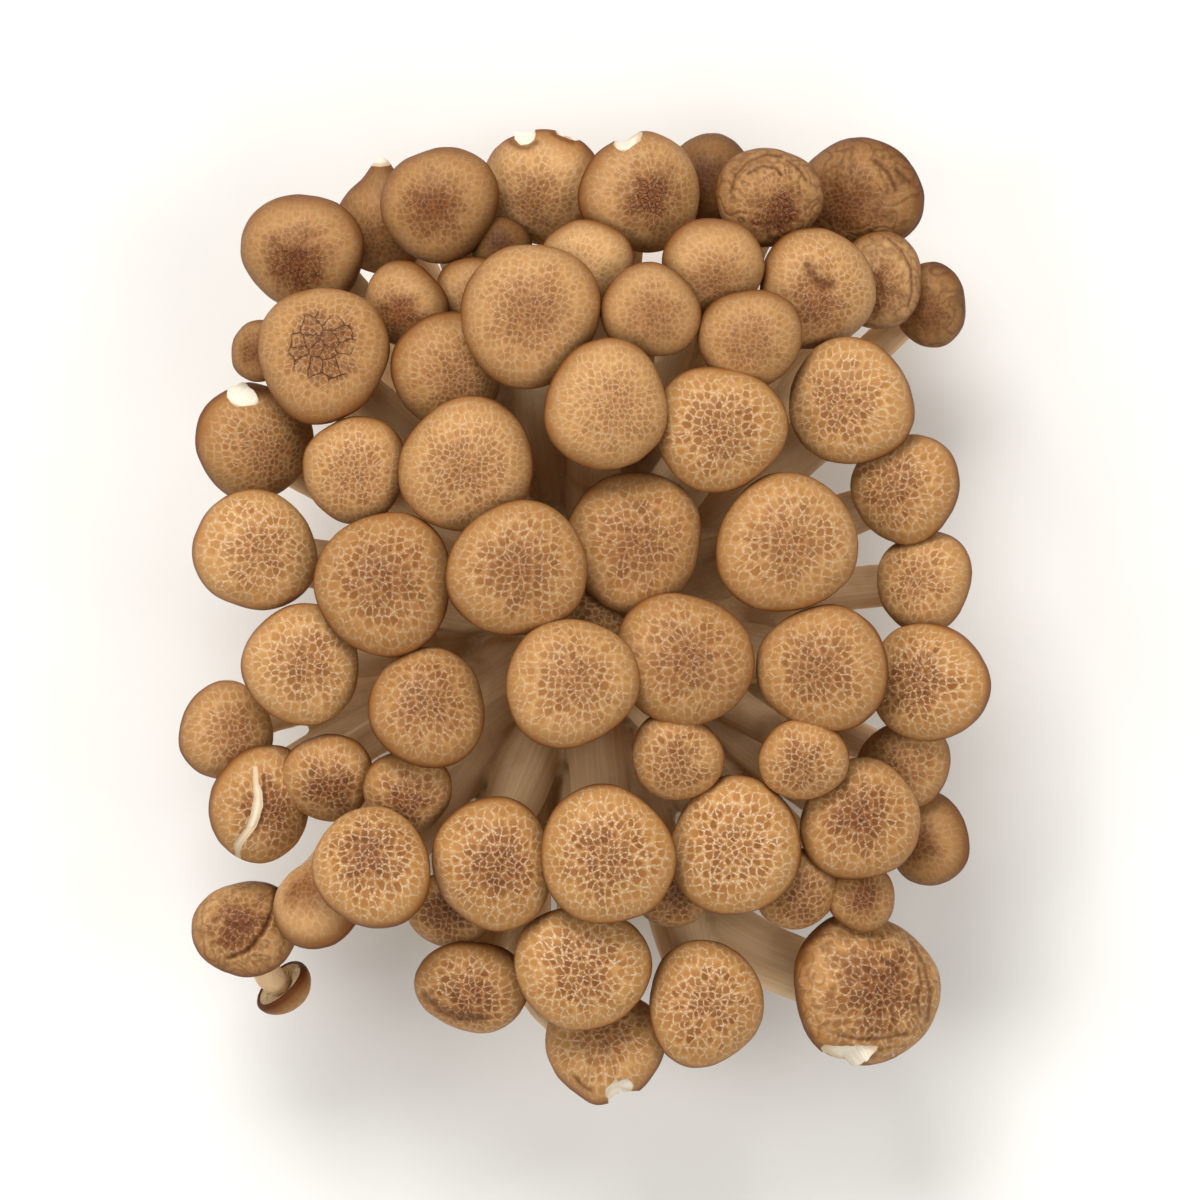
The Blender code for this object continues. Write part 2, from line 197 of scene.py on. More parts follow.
GROUND_COLOUR, TOP_GROUND_COLOUR = srgb(176, 128, 74), srgb(126, 72, 28)
SPOT_COLOUR, OUTER_SPOT_COLOUR = srgb(134, 80, 34), srgb(162, 110, 54)
TOP_SPOT_COLOUR, LINE_COLOUR = srgb(86, 44, 20), srgb(196, 175, 144)
MARGIN_COLOUR, RIM_SHADE_COLOUR = srgb(166, 110, 54), srgb(104, 56, 20)
CRACK_COLOUR, FAINT_GROUND_COLOUR = srgb(60, 32, 20), srgb(202, 162, 112)
SKIN_ROUGHNESS = 0.55

skin_material, skin_shader, paint = new_material("cap skin")
on_cap = paint.node("Attribute", attribute_name="on_cap", out="Vector")
apart = paint.node("Attribute", attribute_name="apart", out="Vector")
net_place = paint.node("Attribute", attribute_name="net_place", out="Vector")
outwards, _, _ = paint.parts(paint.node("Attribute", attribute_name="reach", out="Vector"))
from_top, torn_depth, crease_shade = paint.parts(
    paint.node("Attribute", attribute_name="marks", out="Vector")
)
contrast, darkness, cracked = paint.parts(
    paint.node("Attribute", attribute_name="kind", out="Vector")
)
tone = paint.node("Attribute", attribute_name="tone", out="Fac")

# The net: round brown spots, small and dark round the top of the cap and wide and pale outside,
# on a tan ground, with grainy cream lines between them.
wander = paint.node("TexNoise", {"Vector": net_place, "Scale": 1.3, "Detail": 4.0}, out=1)
wandering = net_place.plus(wander.plus((-0.5, -0.5, -0.5)).times(0.8))
spots = {"Vector": wandering, "Scale": 1.0, "Randomness": 0.85}
edge = paint.node("TexVoronoi", spots, voronoi_dimensions="2D", feature="DISTANCE_TO_EDGE")
from_core = paint.node("TexVoronoi", spots, voronoi_dimensions="2D")
size, shade, fades = paint.parts(
    paint.node("TexVoronoi", spots, out="Color", voronoi_dimensions="2D")
)
patches = paint.node("TexNoise", {"Vector": net_place, "Scale": 0.30, "Detail": 4.0})
thins, _, _ = paint.parts(wander)
specks = paint.node("TexNoise", {"Vector": net_place, "Scale": 4.0, "Detail": 3.0})
grain = paint.node("TexNoise", {"Vector": on_cap.plus(apart), "Scale": 46.0, "Detail": 2.0})

inner = (outwards + (patches - 0.5) * 0.6).rising(0.82, 0.30)
plain_margin = (outwards + (patches - 0.5) * 0.4).rising(0.68, 0.94)
near_top = (from_top + (patches - 0.5) * 0.5).rising(0.55, 0.06) * darkness
net = (1 - plain_margin) * (0.15 + contrast * 0.85)
spot = (from_core - size * 0.18).rising(0.41, 0.27) * edge.rising(0.0, 0.10)
spot = spot * (0.35 + shade * 0.65) * (0.35 + inner * 0.65) * net
line = edge.rising(0.19, 0.03) * (0.12 + specks.rising(0.44, 0.56) * 0.88)
line = line * thins.rising(0.30, 0.52) * (0.65 + inner * 0.35) * net

ground = ((1 - contrast) * 0.5).mixed(GROUND_COLOUR, FAINT_GROUND_COLOUR)
ground = near_top.mixed(ground, TOP_GROUND_COLOUR)
spot_colour = inner.mixed(OUTER_SPOT_COLOUR, SPOT_COLOUR)
spot_colour = near_top.mixed(spot_colour, TOP_SPOT_COLOUR)
skin_colour = spot.mixed(ground, spot_colour)
skin_colour = (near_top * fades * 0.5).mixed(skin_colour, TOP_SPOT_COLOUR)
skin_colour = (plain_margin * 0.7).mixed(skin_colour, MARGIN_COLOUR)
# Painted shade: each cap's rim is darkened where its side turns from the light, and caps with a
# faint net are darkened further in, as if shaded by their neighbours.
far_rim_shade = outwards.rising(0.45, 1.0) * (1 - contrast) * 0.9
rim = paint.maths("MAXIMUM", outwards.rising(0.76, 1.05), far_rim_shade)
skin_colour = rim.mixed(skin_colour, RIM_SHADE_COLOUR)
skin_colour = (line * (1 - near_top * 0.45)).mixed(skin_colour, LINE_COLOUR)

# Fine dark cracks where an old cap's top has dried, and in the worst of them a ring of long ones.
fine_crack = paint.node(
    "TexVoronoi", {"Vector": wandering, "Scale": 0.95},
    voronoi_dimensions="2D", feature="DISTANCE_TO_EDGE",
)
long_crack = paint.node(
    "TexVoronoi", {"Vector": wandering, "Scale": 0.40, "Randomness": 0.8},
    voronoi_dimensions="2D", feature="DISTANCE_TO_EDGE",
)
crack = fine_crack.rising(0.10, 0.02) * (from_top + (patches - 0.5) * 0.6).rising(0.36, 0.12)
ring = (from_top + (patches - 0.5) * 0.25).rising(0.38, 0.31)
ringed = cracked.rising(0.8, 0.95)
long_crack = long_crack.rising(0.060, 0.018) * ring * ringed
crack = paint.maths("MAXIMUM", crack * (1 - ringed * 0.5), long_crack)
crack = crack * cracked.rising(0.0, 0.7)
skin_colour = (crack * 0.85).mixed(skin_colour, CRACK_COLOUR)
# Painted shade in the creases and wrinkles: the skin there is darkened towards the dark top's
# colour.
skin_colour = (crease_shade * 0.7).mixed(skin_colour, TOP_SPOT_COLOUR)
# Painted shade and bounce light: the tone darkens a whole cap, and the darker it is, the warmer it
# is made, as if lit by light bounced among brown caps.
shade_of = {"X": tone, "Y": tone * (0.7 + tone * 0.3), "Z": tone * (0.4 + tone * 0.6)}
warm_shade = paint.node("CombineXYZ", shade_of)
skin_colour = paint.node("VectorMath", {0: skin_colour, 1: warm_shade}, operation="MULTIPLY")

# Flesh shows where the skin is torn.
FLESH_COLOUR, FLESH_SHADE = srgb(228, 218, 200), srgb(188, 160, 122)
torn = torn_depth.rising(0.0, 0.012)
shallow = torn_depth.rising(0.13, 0.03) * 0.8
shaded = paint.maths("MAXIMUM", shallow, grain.rising(0.35, 0.7) * 0.25)
flesh = shaded.mixed(FLESH_COLOUR, FLESH_SHADE)
skin_colour = torn.mixed(skin_colour, flesh)

height = line * 0.3 + grain * 0.3 - spot * 0.6 - crack * 1.5
relief = paint.node("Bump", {"Height": height, "Strength": 0.5, "Distance": 0.10 * MM})
links = paint.tree.links
links.new(skin_colour.plug, skin_shader.inputs["Base Color"])
links.new((SKIN_ROUGHNESS - line * 0.06 + torn * 0.2).plug, skin_shader.inputs["Roughness"])
links.new(relief.plug, skin_shader.inputs["Normal"])
skin_shader.inputs["Specular IOR Level"].default_value = 0.15


# The gills
# Thin cream blades under each cap, that run from its margin to the stem, with a short one
# between each two long ones.
GILL_COLOUR, GILL_SHADE = srgb(236, 214, 178), srgb(206, 174, 132)
GILL_ROUGHNESS = 0.62
GLOW_IN_FLESH = (1.0, 0.6, 0.35)  # how far red, green and blue light spread in it
gill_material, gill_shader, paint = new_material("gills")
on_cap = paint.node("Attribute", attribute_name="on_cap", out="Vector")
mottle = paint.node("TexNoise", {"Vector": on_cap, "Scale": 9.0, "Detail": 3.0})
gill_colour = mottle.rising(0.3, 0.7).mixed(GILL_COLOUR, GILL_SHADE)
paint.tree.links.new(gill_colour.plug, gill_shader.inputs["Base Color"])
gill_shader.inputs["Roughness"].default_value = GILL_ROUGHNESS
gill_shader.inputs["Subsurface Weight"].default_value = 0.2
gill_shader.inputs["Subsurface Radius"].default_value = GLOW_IN_FLESH
gill_shader.inputs["Subsurface Scale"].default_value = 1.0 * MM

LONG_GILLS = 26
GILL_STATIONS = 6
GILL_THICKNESS = 0.011  # half of it, as a share of the cap's radius
LONG_GILL_START, SHORT_GILL_START, GILL_END = 0.38, 0.60, 0.86
GILL_SUNK = 0.02  # how far it runs up into the roof
# The line that a gill's lower edge follows, and the roof it hangs from: radius, height.
GILL_EDGE = (
    (0.38, 0.02), (0.50, -0.01), (0.62, -0.055), (0.72, -0.095), (0.80, -0.118), (0.86, -0.10),
)
ROOF = ((0.845, -0.11), (0.815, -0.03), (0.72, 0.03), (0.55, 0.07), (0.34, 0.10), (0.0, 0.11))
MARGIN = ((1.0, -0.04), (0.975, -0.10), (0.93, -0.145), (0.89, -0.155), (0.865, -0.145))


def on_line(line, radius):
    """The height at a radius of a line of (radius, height) points."""
    return float(np.interp(radius, *zip(*sorted(line))))


def add_gills(cap, verts, faces, place_on_cap, before):
    """Adds the gills in the cap's own frame. Their points follow those already in its mesh."""
    for k in range(2 * LONG_GILLS):
        t = math.tau * k / (2 * LONG_GILLS)
        along = Vector((math.cos(t), math.sin(t), 0))
        aside = Vector((-math.sin(t), math.cos(t), 0))
        start = SHORT_GILL_START if k % 2 else LONG_GILL_START
        first = len(verts)
        for j in range(GILL_STATIONS):
            radius = start + (GILL_END - start) * j / (GILL_STATIONS - 1)
            low = on_line(GILL_EDGE, radius)
            if k % 2 and j == 0:
                low = on_line(ROOF, radius) - 0.01
            high = on_line(ROOF, radius) + GILL_SUNK
            for side, height, thick in (
                (1, high, GILL_THICKNESS),
                (-1, high, GILL_THICKNESS),
                (-1, low, GILL_THICKNESS / 2),
                (1, low, GILL_THICKNESS / 2),
            ):
                p = along * radius * cap.reach(t) + aside * side * thick
                p.z = height
                verts.append(p * cap.radius)
                place_on_cap.append(p)
        first += before
        for j in range(GILL_STATIONS - 1):
            a = first + 4 * j
            for i in range(4):
                faces.append((a + i, a + (i + 1) % 4, a + 4 + (i + 1) % 4, a + 4 + i))
        faces.append((first + 3, first + 2, first + 1, first))
        last = first + 4 * (GILL_STATIONS - 1)
        faces.append((last, last + 1, last + 2, last + 3))


# The caps
# Each is a fleshy dome whose margin curls in under it. No two are alike: each has its own net,
# its own darkness at the top, and some are dented, wrinkled, cracked, bitten into or peeled.

# For each cap: how strong its net is, how dark its top is, how cracked its top is, and its tone,
# which darkens the whole cap: partly its own colour, partly painted shade for caps that lie low or
# far back.
LOOKS = {
    "n01": (0.30, 1.00, 0.70, 0.78), "n02": (0.30, 0.55, 0.0, 0.70), "n03": (0.35, 0.95, 0.0, 0.76),
    "n04": (0.40, 0.70, 0.0, 1.06), "n05": (0.40, 0.95, 0.75, 0.90), "n06": (0.25, 0.80, 0.0, 0.46),
    "n07": (0.40, 1.00, 0.7, 0.76), "n08": (0.40, 0.85, 0.0, 0.62), "n09": (0.30, 0.10, 0.0, 1.06),
    "n10": (0.30, 0.70, 0.0, 0.95), "n11": (0.50, 0.80, 0.0, 0.96), "n12": (0.36, 0.90, 0.50, 0.96),
    "n13": (0.25, 0.70, 0.0, 0.60), "n14": (0.32, 1.00, 0.0, 0.84), "n15": (0.25, 0.30, 0.0, 0.88),
    "n16": (0.32, 0.60, 0.0, 0.90), "n17": (0.40, 0.50, 0.0, 0.86), "n18": (0.45, 0.62, 0.0, 0.94),
    "n19": (0.50, 0.75, 1.0, 0.86), "n20": (0.25, 0.80, 0.0, 0.62), "n21": (0.55, 0.55, 0.0, 0.82),
    "n22": (0.50, 0.35, 0.0, 1.00), "n23": (0.65, 0.50, 0.0, 0.84), "n24": (0.65, 0.45, 0.0, 1.00),
    "n25": (0.60, 0.50, 0.0, 1.00), "n26": (0.25, 0.80, 0.0, 0.40),
    "s01": (0.70, 0.45, 0.0, 1.02), "s02": (0.90, 0.60, 0.4, 1.00), "s03": (0.60, 0.60, 0.0, 0.92),
    "s04": (0.30, 0.70, 0.0, 0.74), "s05": (0.60, 0.60, 0.0, 0.92), "s06": (0.80, 0.85, 0.3, 0.96),
    "s07": (0.80, 0.95, 0.0, 0.92), "s08": (0.80, 0.90, 0.0, 0.88), "s09": (1.00, 0.75, 0.2, 1.02),
    "s10": (1.00, 0.75, 0.0, 0.98), "s11": (1.00, 0.60, 0.0, 1.04), "s12": (0.80, 0.60, 0.0, 0.96),
    "s13": (1.00, 0.40, 0.0, 1.06), "s14": (0.80, 0.60, 0.0, 0.96), "s15": (0.85, 0.90, 0.0, 0.92),
    "s16": (0.80, 0.70, 0.0, 0.86), "s17": (0.85, 0.60, 0.0, 0.86), "s18": (0.60, 0.90, 0.0, 0.80),
    "s19": (0.85, 0.90, 0.3, 0.98), "s20": (0.80, 0.80, 0.0, 0.84), "s21": (1.00, 0.55, 0.0, 1.06),
    "s22": (0.95, 0.80, 0.0, 0.94), "s23": (0.70, 0.70, 0.2, 0.98), "s24": (0.95, 0.50, 0.0, 1.00),
    "s25": (0.50, 1.00, 0.3, 0.92), "s26": (0.30, 0.90, 0.0, 0.80), "s27": (0.20, 0.80, 0.0, 0.98),
}
HIDDEN_LOOKS = (0.75, 0.60, 0.0, 1.00)
NET_MESHES = 18  # meshes from the middle of a cap of 10 mm radius to its margin
NET_WIDENS = 1.0  # how much wider they grow towards the margin
FAR_NET = 1.22  # the caps at the far side have a finer net

# Where a margin is broken off: the edge of the skin that is left, seen from above, in mm from
# the middle of the cap, and how far the flesh stands out under it for each mm of depth.
BITES = {
    "n04": (
        ((-4.35, 11.1), (-4.45, 8.0), (-4.1, 6.9), (-3.15, 6.2), (-2.1, 6.3), (-1.25, 6.9),
         (-1.0, 7.9), (-0.4, 11.1), 0.12),
        ((1.4, 11.4), (1.65, 8.9), (2.2, 7.8), (3.0, 7.5), (3.9, 7.3), (4.8, 6.8),
         (5.8, 6.9), (7.2, 9.0), 0.12),
    ),
    "n05": (
        ((-6.1, 10.6), (-5.2, 8.4), (-4.1, 7.1), (-3.0, 6.1), (-2.3, 5.8), (-0.9, 6.8),
         (0.9, 8.3), (2.2, 10.6), 0.35),
    ),
    "n23": (
        ((-4.8, 8.9), (-3.9, 6.6), (-2.85, 5.4), (-0.9, 5.5), (0.8, 6.0), (0.35, 7.4),
         (-0.8, 8.6), (-1.9, 10.6), 0.22),
    ),
    "s19": (
        ((-9.3, -9.0), (-6.9, -8.25), (-4.35, -8.4), (-1.2, -8.25), (1.95, -8.3), (0.9, -9.3),
         (-0.3, -10.8), (-0.9, -12.6), 0.5),
        ((3.6, -12.6), (3.75, -10.35), (3.45, -8.85), (4.05, -9.9), (4.5, -10.8),
         (4.95, -12.6), 0.1),
    ),
    "s23": (
        ((0.3, -9.6), (0.45, -6.8), (3.0, -6.75), (5.6, -6.7), (6.3, -9.0), 0.02),
        ((-0.4, -8.6), (0.0, -6.3), (0.9, -5.4), (1.5, -4.8), (1.95, -5.25), (2.7, -4.65),
         (3.45, -4.95), (4.5, -5.85), (5.9, -6.5), (6.9, -8.0), 1.0),
    ),
}
# Where skin has peeled off: the bare patch, in the same way.
PEELED = {
    "n02": ((-1.4, 8.9), (0.1, 8.7), (1.6, 8.9), (2.2, 12.6), (-2.0, 12.6)),
    "s06": (
        (-0.9, 5.85), (-0.9, 3.15), (-0.75, 1.35), (-1.2, -1.2), (-1.95, -3.3), (-3.15, -4.8),
        (-3.9, -5.85), (-3.75, -6.9), (-3.45, -9.7), (-2.7, -9.7), (-2.85, -6.9), (-2.55, -6.15),
        (-1.5, -4.8), (-0.3, -3.3), (0.3, -1.65), (0.75, 0.15), (0.6, 2.1), (0.15, 3.15),
        (-0.15, 5.85),
    ),
}
PEEL_DEPTH = 0.22 * MM
# Where a margin stands out: the place in the same way, and how far, in mm.
PEAKS = {"n02": (0.2, 7.6, 2.8), "s23": (-1.6, -8.2, 0.6), "n23": (-1.0, 8.6, 0.5)}
PEAK_WIDTH = 2.2 * MM
# Creases in the skin: the line, in the same way, then its width and depth in mm.
CREASES = {
    "n04": (
        ((-4.8, 6.9), (-3.6, 5.9), (-2.2, 5.8), (-0.9, 6.6), 0.5, 0.35),
        ((1.6, 7.9), (3.0, 7.1), (4.6, 6.6), 0.4, 0.2),
    ),
    "n07": (
        ((-6.0, 0.6), (-5.2, 3.2), (-3.4, 5.2), (-0.6, 6.3), (1.6, 6.0), 0.35, 0.3),
        ((-3.4, 3.4), (-1.2, 4.6), (0.8, 4.2), (1.6, 3.2), 0.3, 0.2),
        ((2.6, 5.4), (4.4, 4.0), (5.4, 2.4), 0.3, 0.2),
    ),
    "n08": (((2.4, 4.8), (4.4, 3.0), (5.6, 0.4), 0.45, 0.4), ((5.6, 3.4), (7.6, 1.6), 0.45, 0.4)),
    "n11": (((-1.6, 3.2), (-0.6, 1.2), (0.6, 0.2), (1.8, 0.4), 0.8, 0.7),),
    "n12": (
        ((1.6, 6.2), (3.6, 4.4), (5.0, 1.6), (5.2, -1.8), (4.6, -4.0), 0.3, 0.35),
        ((-1.2, 1.0), (0.2, 0.2), (0.6, -1.6), 0.35, 0.2),
    ),
    "s06": (((0.9, 4.5), (0.85, 1.8), (1.0, 0.0), (0.5, -1.8), (-0.4, -3.6), 0.3, 0.35),),
    "s19": (
        ((6.6, 7.0), (8.4, 3.8), (9.4, -0.6), (9.0, -4.6), 0.45, 0.35),
        ((7.6, 3.4), (8.0, 0.6), (7.4, -1.6), (7.8, -3.4), 0.35, 0.4),
        ((4.6, -0.8), (3.4, -2.6), (3.8, -4.4), 0.35, 0.3),
        ((-4.6, -6.8), (-1.0, -7.4), (2.4, -7.2), (5.6, -6.6), 0.4, 0.3),
        ((2.0, 4.8), (4.2, 3.4), (5.2, 1.2), 0.3, 0.15),
    ),
    "s22": (((-6.9, -1.2), (-4.6, -3.4), (-1.6, -4.5), (1.8, -4.6), 0.8, 0.8),),
    "s23": (((-4.6, -4.6), (-3.4, -6.0), (-2.4, -6.6), 0.4, 0.3),),
    "s25": (
        ((4.7, 5.9), (4.4, 3.0), (2.8, -0.6), (0.4, -3.2), (-2.4, -4.3), 0.35, 1.0),
        ((-2.6, 1.4), (-0.4, 0.2), (1.2, 1.2), 0.35, 0.3),
    ),
}
# Caps that have dried and wrinkled all over, and how deeply, in mm.
WRINKLED = {"n07": 0.26, "n08": 0.18, "n12": 0.14, "n13": 0.12, "s19": 0.12, "s25": 0.12}
WRINKLE_SCALE = 0.40 / MM
WRINKLE_SEED = 7
noise.seed_set(WRINKLE_SEED)  # unseeded, noise_vector would differ from run to run
# Where the dark middle of a cap is, where that is not its top: across and along, in radii.
DARK_MIDDLES = {
    "n01": (-0.08, -0.30), "n03": (-0.15, -0.12), "n04": (-0.20, -0.40), "n05": (0.28, -0.15),
    "n07": (0.20, -0.35), "n10": (0.10, -0.45), "n11": (0.05, -0.30), "n12": (-0.15, -0.25),
    "n14": (-0.25, -0.35), "s19": (0.28, 0.05), "s25": (-0.10, 0.15), "s27": (-0.35, 0.50),
}
SEGMENTS, DOME_RINGS = 96, 30
CLOSE_SEGMENTS, CLOSE_DOME_RINGS = 264, 84  # on caps with breaks or creases
LUMPS, LUMP_SCALE = 0.030, 1.6  # of a dome, as shares of its radius
SMALL_LUMPS, SMALL_LUMP_SCALE = 0.007, 5.0
RAGGED, RAGGED_SCALE = 0.16 * MM, 1.1 / MM
ON_TOP, ON_SKIN = 1.0, 1.3  # the highest shares on the dome, and before the roof
UNDERSIDE = 1.4  # the share that the roof and the gills have


def cap_profile(cap, rings):
    """(radius, height, share) down the dome, round the margin and in along the roof."""
    flat = cap.rise / cap.radius
    line = []
    for k in range(rings):
        a = math.pi / 2 * (k + 1) / rings
        line.append((math.sin(a), flat * math.cos(a), (k + 1) / rings))
    line += [(r, z, 1.03 + 0.03 * k) for k, (r, z) in enumerate(MARGIN)]
    line += [(r, z, UNDERSIDE) for r, z in ROOF[:-1]]
    return line


def lumpy(cap, p, lumps):
    """A point of the cap's skin, in radii, after its lumps."""
    direction = p.normalized()
    push = LUMPS * noise.noise(p * LUMP_SCALE + lumps)
    push += SMALL_LUMPS * noise.noise(p * SMALL_LUMP_SCALE + lumps)
    return p + direction * push


def near_line(points, line, closed=False):
    """The distance of each point from a line in plan, and the way from the nearest place on it."""
    corners = np.array(line)
    ends = np.roll(corners, -1, axis=0) if closed else corners[1:]
    starts = corners if closed else corners[:-1]
    best = np.full(len(points), np.inf)
    way = np.zeros((len(points), 2))
    for a, b in zip(starts, ends):
        span = b - a
        share = np.clip(((points - a) @ span) / (span @ span), 0, 1)
        apart = points - (a + share[:, None] * span)
        far = np.hypot(*apart.T)
        closer = far < best
        best[closer] = far[closer]
        way[closer] = apart[closer]
    return best, way / np.maximum(best, 1e-9)[:, None]


def within(points, outline):
    """Which points lie inside an outline, in plan."""
    inside = np.zeros(len(points), bool)
    for (ax, ay), (bx, by) in zip(outline, outline[1:] + outline[:1]):
        crosses = (points[:, 1] < ay) != (points[:, 1] < by)
        x = ax + (points[:, 1] - ay) * (bx - ax) / ((by - ay) or 1e-12)
        inside ^= crosses & (points[:, 0] < x)
    return inside


def worn(cap, places, shares):
    """World places of the skin after its peaks, creases, peeled patches and breaks, with marks: its
    torn depth and the painted shade in its creases.
    """
    top = places[shares <= ON_TOP]
    middle = (top[:, :2].min(axis=0) + top[:, :2].max(axis=0)) / 2
    plan = places[:, :2] - middle
    height = places[:, 2].copy()
    torn = np.full(len(places), -1.0)
    crease_shade = np.zeros(len(places))
    upper = shares < ON_SKIN
    if cap.name in PEAKS:
        x, y, out = PEAKS[cap.name]
        aim = np.array((x, y)) * MM
        near = np.exp(-(((plan - aim) ** 2).sum(axis=1)) / PEAK_WIDTH**2)
        plan += near[:, None] * aim / np.hypot(*aim) * out * MM
    rough = np.array([noise.noise(Vector((x, y, z)) * RAGGED_SCALE) for x, y, z in places])
    if cap.name in WRINKLED:
        waves = [noise.noise(Vector(p) * WRINKLE_SCALE + noise.noise_vector(Vector(p) / (3 * MM)))
                 for p in places]
        folds = np.clip(1 - 3.2 * np.abs(waves), 0, 1) ** 1.5 * upper * np.clip(shares * 2, 0.2, 1)
        # The folds are also painted darker: painted shade.
        crease_shade = folds * 0.7
        height -= folds * WRINKLED[cap.name] * MM
    for *line, width, depth in CREASES.get(cap.name, ()):
        far, _ = near_line(plan, [(x * MM, y * MM) for x, y in line])
        near = np.exp(-((far / (width * MM)) ** 2)) * upper
        crease_shade = np.maximum(crease_shade, near)
        height -= near * depth * MM * (0.8 + 0.4 * rough)
    if cap.name in PEELED:
        patch = [(x * MM, y * MM) for x, y in PEELED[cap.name]]
        far, _ = near_line(plan, patch, closed=True)
        far[~within(plan, patch)] *= -1
        far = far + rough * RAGGED * 0.5
        torn[upper] = np.maximum(torn[upper], far[upper] / cap.radius)
        height -= np.clip(far / PEEL_DEPTH, 0, 1) * PEEL_DEPTH * upper
    for *line, lean in BITES.get(cap.name, ()):
        line = [(x * MM, y * MM) for x, y in line]
        beyond = [(x * 3, y * 3) for x, y in (line[-1], line[0])]
        far, way = near_line(plan, line)
        gone = within(plan, line + beyond)
        far[~gone] *= -1
        way[~gone] *= -1
        far = far + rough * RAGGED
        at_edge = (np.abs(far) < 0.05 * cap.radius) & (shares < 0.98)
        edge_height = height[at_edge].mean()
        allowed = lean * np.maximum(0, edge_height - height)
        over = far - allowed
        moved = over > 0
        plan[moved] -= way[moved] * over[moved][:, None]
        torn[upper] = np.maximum(torn[upper], over[upper] / cap.radius)
    return np.column_stack((plan + middle, height)), torn, crease_shade


def fine_cap(cap, verts, faces, slots, attributes):
    """Adds a cap's dome, margin and gills to a mesh."""
    draw = random.Random("looks " + cap.name)
    lumps = Vector([draw.uniform(-50, 50) for _ in range(3)])
    looks = LOOKS.get(cap.name)
    if looks is None:
        looks = [v * draw.uniform(0.85, 1.1) for v in HIDDEN_LOOKS]
    close = any(cap.name in kind for kind in (BITES, PEELED, CREASES, WRINKLED))
    segments = CLOSE_SEGMENTS if close else SEGMENTS
    profile = cap_profile(cap, CLOSE_DOME_RINGS if close else DOME_RINGS)
    meshes = NET_MESHES * (cap.radius / (10 * MM)) ** 0.7
    if cap.name.startswith("n"):
        meshes *= FAR_NET
    dark = Vector((*DARK_MIDDLES.get(cap.name, (0, 0)), 0))
    if dark.length:
        dark.z = math.sqrt(1 - dark.length_squared)
        dark = cap.turn.transposed() @ dark
    else:
        dark = Vector((0, 0, 1))

    on, shares, net, tops = [], [], [], []

    def add(p, share, t):
        on.append(lumpy(cap, p, lumps))
        shares.append(share)
        spread = meshes * share / (1 + NET_WIDENS * share)
        net.append((spread * math.cos(t) + lumps.x, spread * math.sin(t) + lumps.y, 0))
        ball = Vector((p.x, p.y, p.z * cap.radius / cap.rise if p.z > 0 else p.z)).normalized()
        tops.append(ball.angle(dark) / (math.pi / 2))

    add(Vector((0, 0, cap.rise / cap.radius)), 0, 0)
    for radius, height, share in profile:
        for k in range(segments):
            t = math.tau * k / segments
            out = radius * cap.reach(t)
            add(Vector((out * math.cos(t), out * math.sin(t), height)), share, t)
    add(Vector((0, 0, ROOF[-1][1])), UNDERSIDE, 0)
    own_faces, own_slots = [], []
    skin_rings = len(profile) - len(ROOF) + 1
    for k in range(segments):
        nxt = (k + 1) % segments
        own_faces.append((0, 1 + k, 1 + nxt))
        own_slots.append(0)
        for ring in range(len(profile) - 1):
            a, b = 1 + ring * segments, 1 + (ring + 1) * segments
            own_faces.append((a + k, b + k, b + nxt, a + nxt))
            own_slots.append(0 if ring < skin_rings else 1)
        last = 1 + (len(profile) - 1) * segments
        own_faces.append((last + k, len(on) - 1, last + nxt))
        own_slots.append(1)
    places = np.array([tuple(cap.place + cap.turn @ (p * cap.radius)) for p in on])
    shares = np.array(shares)
    torn = np.full(len(on), -1.0)
    crease_shade = np.zeros(len(on))
    if close:
        places, torn, crease_shade = worn(cap, places, shares)
    torn[shares > ON_SKIN] = -1.0
    own_verts = [Vector(p) for p in places]
    marks = list(zip(tops, torn.tolist(), crease_shade.tolist()))

    skin_faces, skin_points = len(own_faces), len(on)
    blades = []
    add_gills(cap, blades, own_faces, on, skin_points)
    own_verts += [cap.place + cap.turn @ v for v in blades]
    own_slots += [1] * (len(own_faces) - skin_faces)
    extra = len(own_verts) - skin_points
    marks += [(UNDERSIDE, -1.0, 0.0)] * extra
    net += [(0.0, 0.0, 0.0)] * extra
    reach = [(share, 0.0, 0.0) for share in shares.tolist()] + [(UNDERSIDE, 0.0, 0.0)] * extra

    start = len(verts)
    verts.extend(own_verts)
    faces.extend(tuple(start + i for i in face) for face in own_faces)
    slots.extend(own_slots)
    n = len(own_verts)
    attributes["on_cap"].extend(tuple(p) for p in on)
    attributes["net_place"].extend(net)
    attributes["reach"].extend(reach)
    attributes["marks"].extend(marks)
    attributes["kind"].extend([tuple(looks[:3])] * n)
    attributes["apart"].extend([tuple(lumps)] * n)
    attributes["tone"].extend([looks[3]] * n)
    return close


def mesh_piece(name, place, verts, faces, slots, materials, attributes):
    """A smooth-shaded object at a place, from world points, with its slots and attributes."""
    mesh = bpy.data.meshes.new(name)
    mesh.from_pydata([v - place for v in verts], [], faces)
    for material in materials:
        mesh.materials.append(material)
    mesh.polygons.foreach_set("material_index", slots)
    for key, values in attributes.items():
        if isinstance(values[0], tuple):
            layer = mesh.attributes.new(key, "FLOAT_VECTOR", "POINT")
            layer.data.foreach_set("vector", [part for value in values for part in value])
        else:
            layer = mesh.attributes.new(key, "FLOAT", "POINT")
            layer.data.foreach_set("value", values)
    mesh.shade_smooth()
    mesh.update()
    made = bpy.data.objects.new(name, mesh)
    made.location = place
    bpy.context.scene.collection.objects.link(made)
    return made


